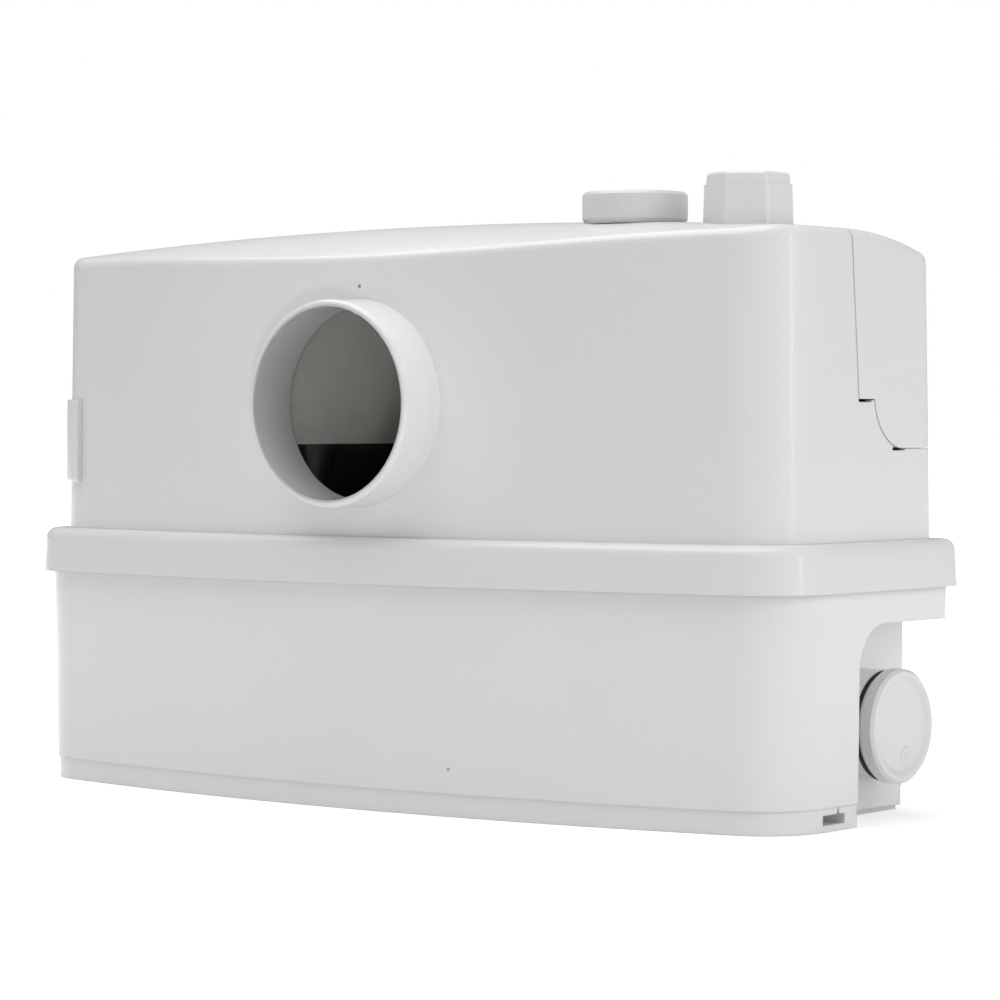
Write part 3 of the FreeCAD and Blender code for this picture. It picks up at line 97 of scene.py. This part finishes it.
def add_camera():
    data = bpy.data.cameras.new("camera")
    data.lens, data.sensor_width = LENS_MM, SENSOR_MM
    camera = bpy.data.objects.new("camera", data)
    camera.location = CAMERA_PLACE
    camera.rotation_euler = (math.radians(90 - CAMERA_TILT), 0, math.radians(CAMERA_TURN))
    bpy.context.scene.collection.objects.link(camera)
    bpy.context.scene.camera = camera


def add_lamp(name, place, aim, width, height, watts, colour=(1, 1, 1), mirrored=True, lit=True, spread=180):
    """A rectangular lamp: mirrored lamps show in glossy surfaces, lit ones light matt surfaces."""
    data = bpy.data.lights.new(name, "AREA")
    data.shape, data.size, data.size_y, data.energy = "RECTANGLE", width, height, watts
    data.color, data.spread = colour, math.radians(spread)
    lamp = bpy.data.objects.new(name, data)
    lamp.location = place
    lamp.rotation_euler = (Vector(aim) - Vector(place)).to_track_quat("-Z", "Y").to_euler()
    lamp.visible_glossy, lamp.visible_diffuse = mirrored, lit
    bpy.context.scene.collection.objects.link(lamp)


# Node helpers for materials
def new_material(name):
    material = bpy.data.materials.new(name)
    material.use_nodes = True
    tree = material.node_tree
    tree.nodes.clear()
    return material, tree


def node(tree, kind, **values):
    """A node whose sockets or own settings take the named values."""
    item = tree.nodes.new(kind)
    for key, value in values.items():
        if key in item.inputs:
            item.inputs[key].default_value = value
        else:
            setattr(item, key, value)
    return item


def ramp(tree, source, low, high, stops):
    """Two colours blended over the range from low to high of a value."""
    item = tree.nodes.new("ShaderNodeValToRGB")
    elements = item.color_ramp.elements
    elements[0].position, elements[1].position = low, high
    elements[0].color, elements[1].color = stops
    tree.links.new(source, item.inputs["Fac"])
    return item


def rgba(colour, factor=1.0):
    return (colour[0] * factor, colour[1] * factor, colour[2] * factor, 1.0)


def ridges(tree, place, pitch, depth):
    """Fine level rings round an upright piece, as a height for its bump."""
    split = node(tree, "ShaderNodeSeparateXYZ")
    tree.links.new(place, split.inputs["Vector"])
    turns = node(tree, "ShaderNodeMath", operation="MULTIPLY")
    turns.inputs[1].default_value = math.tau / pitch
    tree.links.new(split.outputs["Z"], turns.inputs[0])
    wave = node(tree, "ShaderNodeMath", operation="SINE")
    tree.links.new(turns.outputs[0], wave.inputs[0])
    bump = node(tree, "ShaderNodeBump", Strength=1.0, Distance=depth)
    tree.links.new(wave.outputs[0], bump.inputs["Height"])
    return bump.outputs["Normal"]


def paint_bore_shadow(tree, place, colour):
    """The colour darkened inside the bore of the toilet inlet, as painted shadow for the shade that falls there."""
    offset = node(tree, "ShaderNodeVectorMath", operation="SUBTRACT")
    offset.inputs[1].default_value = BORE_END
    tree.links.new(place, offset.inputs[0])
    across = node(tree, "ShaderNodeVectorMath", operation="MULTIPLY")
    across.inputs[1].default_value = BORE_SQUEEZE
    tree.links.new(offset.outputs["Vector"], across.inputs[0])
    reach = node(tree, "ShaderNodeVectorMath", operation="LENGTH")
    tree.links.new(across.outputs["Vector"], reach.inputs[0])
    share = node(tree, "ShaderNodeMapRange")
    share.inputs["From Min"].default_value, share.inputs["From Max"].default_value = BORE_FADE
    share.inputs["To Min"].default_value = BORE_SHADOW_SHARE
    tree.links.new(reach.outputs["Value"], share.inputs["Value"])
    shaded = node(tree, "ShaderNodeVectorMath", operation="SCALE")
    tree.links.new(colour, shaded.inputs[0])
    tree.links.new(share.outputs["Result"], shaded.inputs["Scale"])
    return shaded.outputs["Vector"]


def moulded(name, colour, roughness, grain=0.00008, scale=900, spread=0.03, coat=0.0, metallic=0.0, mottling=14,
            ridge_depth=0.0, edge=0.0, bore=False):
    """A moulded or machined surface: faint tone changes, fine surface grain, uneven gloss."""
    material, tree = new_material(name)
    link = tree.links.new
    place = node(tree, "ShaderNodeTexCoord").outputs["Object"]
    shader = node(tree, "ShaderNodeBsdfPrincipled", Metallic=metallic)
    shader.inputs["Coat Weight"].default_value = coat
    shader.inputs["Coat Roughness"].default_value = COAT_ROUGHNESS
    tone = node(tree, "ShaderNodeTexNoise", Scale=mottling, Detail=3.0)
    link(place, tone.inputs["Vector"])
    tint = ramp(tree, tone.outputs["Fac"], *TONE_RANGE, (rgba(colour, 1 - spread), rgba(colour)))
    # Painted shadow: inside the inlet's bore the colour is darkened where shade falls
    hue = paint_bore_shadow(tree, place, tint.outputs["Color"]) if bore else tint.outputs["Color"]
    link(hue, shader.inputs["Base Color"])
    gloss = node(tree, "ShaderNodeTexNoise", Scale=mottling * 4, Detail=2.0)
    link(place, gloss.inputs["Vector"])
    reach = node(tree, "ShaderNodeMapRange")
    reach.inputs["To Min"].default_value = roughness * (1 - GLOSS_SWING)
    reach.inputs["To Max"].default_value = roughness * (1 + GLOSS_SWING)
    link(gloss.outputs["Fac"], reach.inputs["Value"])
    link(reach.outputs["Result"], shader.inputs["Roughness"])
    fine = node(tree, "ShaderNodeTexNoise", Scale=scale, Detail=2.0)
    link(place, fine.inputs["Vector"])
    bump = node(tree, "ShaderNodeBump", Strength=GRAIN_STRENGTH, Distance=grain)
    link(fine.outputs["Fac"], bump.inputs["Height"])
    if ridge_depth:
        link(ridges(tree, place, RIDGE_PITCH, ridge_depth), bump.inputs["Normal"])
    if edge:
        bevel = node(tree, "ShaderNodeBevel", samples=BEVEL_SAMPLES, Radius=edge)
        link(bevel.outputs["Normal"], bump.inputs["Normal"])
    link(bump.outputs["Normal"], shader.inputs["Normal"])
    output = node(tree, "ShaderNodeOutputMaterial")
    link(shader.outputs["BSDF"], output.inputs["Surface"])
    return material


def floor_material():
    """A pale floor, white away from the object, that keeps the soft shadow close to it."""
    material, tree = new_material("studio_floor")
    link = tree.links.new
    place = node(tree, "ShaderNodeNewGeometry").outputs["Position"]
    reach = node(tree, "ShaderNodeVectorMath", operation="LENGTH")
    link(place, reach.inputs[0])
    fade = node(tree, "ShaderNodeMapRange", interpolation_type="SMOOTHSTEP")
    fade.inputs["From Min"].default_value, fade.inputs["From Max"].default_value = FLOOR_FADE
    fade.inputs["To Min"].default_value, fade.inputs["To Max"].default_value = FLOOR_GLOW
    link(reach.outputs["Value"], fade.inputs["Value"])
    diffuse = node(tree, "ShaderNodeBsdfDiffuse", Color=rgba(FLOOR_COLOUR))
    glow = node(tree, "ShaderNodeEmission", Color=(1, 1, 1, 1))
    link(fade.outputs["Result"], glow.inputs["Strength"])
    both = node(tree, "ShaderNodeAddShader")
    link(diffuse.outputs[0], both.inputs[0])
    link(glow.outputs[0], both.inputs[1])
    path = node(tree, "ShaderNodeLightPath")
    seen = node(tree, "ShaderNodeMath", operation="ADD", use_clamp=True)
    link(path.outputs["Is Camera Ray"], seen.inputs[0])
    link(path.outputs["Is Glossy Ray"], seen.inputs[1])
    mix = node(tree, "ShaderNodeMixShader")
    link(seen.outputs[0], mix.inputs[0])
    link(diffuse.outputs[0], mix.inputs[1])
    link(both.outputs[0], mix.inputs[2])
    output = node(tree, "ShaderNodeOutputMaterial")
    link(mix.outputs[0], output.inputs["Surface"])
    return material


def mesh_piece(name, corners, faces, material):
    mesh = bpy.data.meshes.new(name)
    mesh.from_pydata(corners, [], faces)
    mesh.materials.append(material)
    piece = bpy.data.objects.new(name, mesh)
    bpy.context.scene.collection.objects.link(piece)
    return piece


def add_floor():
    half = FLOOR_HALF
    corners = [(-half, -half, 0), (half, -half, 0), (half, half, 0), (-half, half, 0)]
    mesh_piece("floor", corners, [(0, 1, 2, 3)], floor_material())


def set_world():
    """White to the camera, and a dimmer even sky for light and reflections."""
    world = bpy.data.worlds.new("studio")
    bpy.context.scene.world = world
    world.use_nodes = True
    tree = world.node_tree
    tree.nodes.clear()
    link = tree.links.new
    white = node(tree, "ShaderNodeBackground", Color=(1, 1, 1, 1), Strength=1.0)
    sky = node(tree, "ShaderNodeBackground", Color=rgba(SKY_COLOUR), Strength=SKY_STRENGTH)
    path = node(tree, "ShaderNodeLightPath")
    mix = node(tree, "ShaderNodeMixShader")
    link(path.outputs["Is Camera Ray"], mix.inputs[0])
    link(sky.outputs[0], mix.inputs[1])
    link(white.outputs[0], mix.inputs[2])
    output = node(tree, "ShaderNodeOutputWorld")
    link(mix.outputs[0], output.inputs["Surface"])


# Finishes, one for each material slot of the record, one for the ringed top cap and two for the gate marks
WHITE = (0.80, 0.80, 0.795)
FINISHES = {
    # The white shell carries the painted shadow inside the inlet's bore
    "shell_plastic": moulded("white_shell", WHITE, 0.24, spread=0.012, coat=0.2, edge=SOFT_EDGE, bore=True),
    "cap_plastic": moulded("white_caps", (0.79, 0.79, 0.775), 0.3, spread=0.02, coat=0.1, mottling=30,
                           edge=SOFT_EDGE / 3),
    "inner_plastic": moulded("black_plastic", (0.012, 0.012, 0.013), 0.45, spread=0.25, mottling=40),
    "pipe_plastic": moulded("grey_pipe", (0.10, 0.105, 0.11), 0.4, spread=0.1, mottling=30),
    "rubber": moulded("black_rubber", (0.02, 0.02, 0.02), 0.7, grain=0.0003, scale=500, spread=0.3),
    "steel": moulded("steel", (0.60, 0.60, 0.61), 0.3, metallic=1.0, spread=0.1, mottling=60),
    "motor_metal": moulded("motor_paint", (0.03, 0.034, 0.04), 0.42, spread=0.15, coat=0.2),
    "iron": moulded("iron", (0.20, 0.20, 0.21), 0.5, metallic=1.0, spread=0.2, mottling=50),
    "guard_plastic": moulded("grey_guard", (0.80, 0.775, 0.735), 0.4, spread=0.04, mottling=30),
    "capacitor_shell": moulded("pale_can", (0.55, 0.56, 0.56), 0.35, spread=0.05),
}
RINGED_CAP = moulded("white_ringed_cap", (0.74, 0.74, 0.725), 0.32, spread=0.02, mottling=30, ridge_depth=0.00004)
MARK_GREY = moulded("gate_mark", (0.30, 0.30, 0.30), 0.5, spread=0.2, mottling=300)
MARK_PALE = moulded("faint_gate_mark", (0.52, 0.52, 0.51), 0.5, spread=0.2, mottling=300)


def dress_nodes():
    slots = {entry["node"]: entry["material_slot"] for entry in frame["record"]["subparts"]}
    for name, item in frame["nodes"].items():
        for slot in item.material_slots:
            slot.material = RINGED_CAP if name == "top_inlet_cap" else FINISHES[slots[name]]


# Small pieces added on the shells and caps
def circle(radius, steps):
    angles = [math.tau * step / steps for step in range(steps)]
    return [(radius * math.cos(angle), radius * math.sin(angle)) for angle in angles]


def band(low, high, steps):
    """Faces between two circles of corners that start at the numbers low and high."""
    return [(low + step, low + (step + 1) % steps, high + (step + 1) % steps, high + step) for step in range(steps)]


def lathe(name, profile, place, normal, material):
    """A small turned form standing on a surface, closed at its middle."""
    steps = LATHE_STEPS
    corners = [(x, y, height) for radius, height in profile[:-1] for x, y in circle(radius, steps)]
    corners.append((0, 0, profile[-1][1]))
    last = (len(profile) - 2) * steps
    faces = [face for low in range(0, last, steps) for face in band(low, low + steps, steps)]
    faces += [(last + step, last + (step + 1) % steps, len(corners) - 1) for step in range(steps)]
    piece = mesh_piece(name, corners, faces, material)
    piece.data.polygons.foreach_set("use_smooth", [True] * len(faces))
    piece.rotation_euler = Vector(normal).to_track_quat("Z", "Y").to_euler()
    piece.location = place
    return piece


def make_shadow_ring(name, near, far, material):
    """A dark ring round a side port's level axis, between two places on that axis: it stands in for the shade in
    the gap behind a side cap.
    """
    steps = RING_STEPS
    inner, outer = RING_RADII
    corners = [(x, RING_CENTRE[0] + y, RING_CENTRE[1] + z)
               for radius, x in ((inner, near), (outer, near), (outer, far), (inner, far))
               for y, z in circle(radius, steps)]
    faces = [face for side in range(4) for face in band(side * steps, (side + 1) % 4 * steps, steps)]
    return mesh_piece(name, corners, faces, material)


def on_surface(item, start, direction):
    """Where a line from outside first meets a node, and which way the surface faces there."""
    hit, place, normal, _ = item.ray_cast(Vector(start), Vector(direction))
    assert hit, f"no surface of {item.name} is met from {start}"
    return place, normal


def add_gate_mark(name, node_name, start, finish):
    """The small mark that the mould's gate leaves on a shell."""
    place, normal = on_surface(frame["nodes"][node_name], start, (0, 1, 0))
    piece = lathe(name, GATE_PROFILE, place, normal, finish)
    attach(piece, "housing")


def add_side_marks(word, side):
    """The boss on a side cap's face, and the dark ring behind the cap that stands in for the shade in the gap
    there.
    """
    x, y, z = BOSS_START
    place, normal = on_surface(frame["nodes"][f"{word}_inlet_cap"], (x * side, y, z), (-side, 0, 0))
    boss = lathe(f"{word}_cap_boss", BOSS_PROFILE, place + normal * BOSS_LIFT, normal, FINISHES["cap_plastic"])
    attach(boss, f"{word}_cap")
    near, far = sorted(side * x for x in RING_SPAN)
    # A dark ring put in the gap behind the cap, standing in for the shade there
    shadow_ring = make_shadow_ring(f"{word}_gap_shadow_ring", near, far, FINISHES["rubber"])
    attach(shadow_ring, "housing")


add_camera()
for settings, extras in LAMPS:
    add_lamp(*settings, **extras)
set_world()
add_floor()
dress_nodes()
add_gate_mark("hood_gate_mark", "hood", HOOD_GATE, MARK_GREY)
add_gate_mark("tank_gate_mark", "tank", TANK_GATE, MARK_PALE)
add_side_marks("right", 1)
add_side_marks("left", -1)
bpy.context.scene.view_settings.view_transform = "Standard"
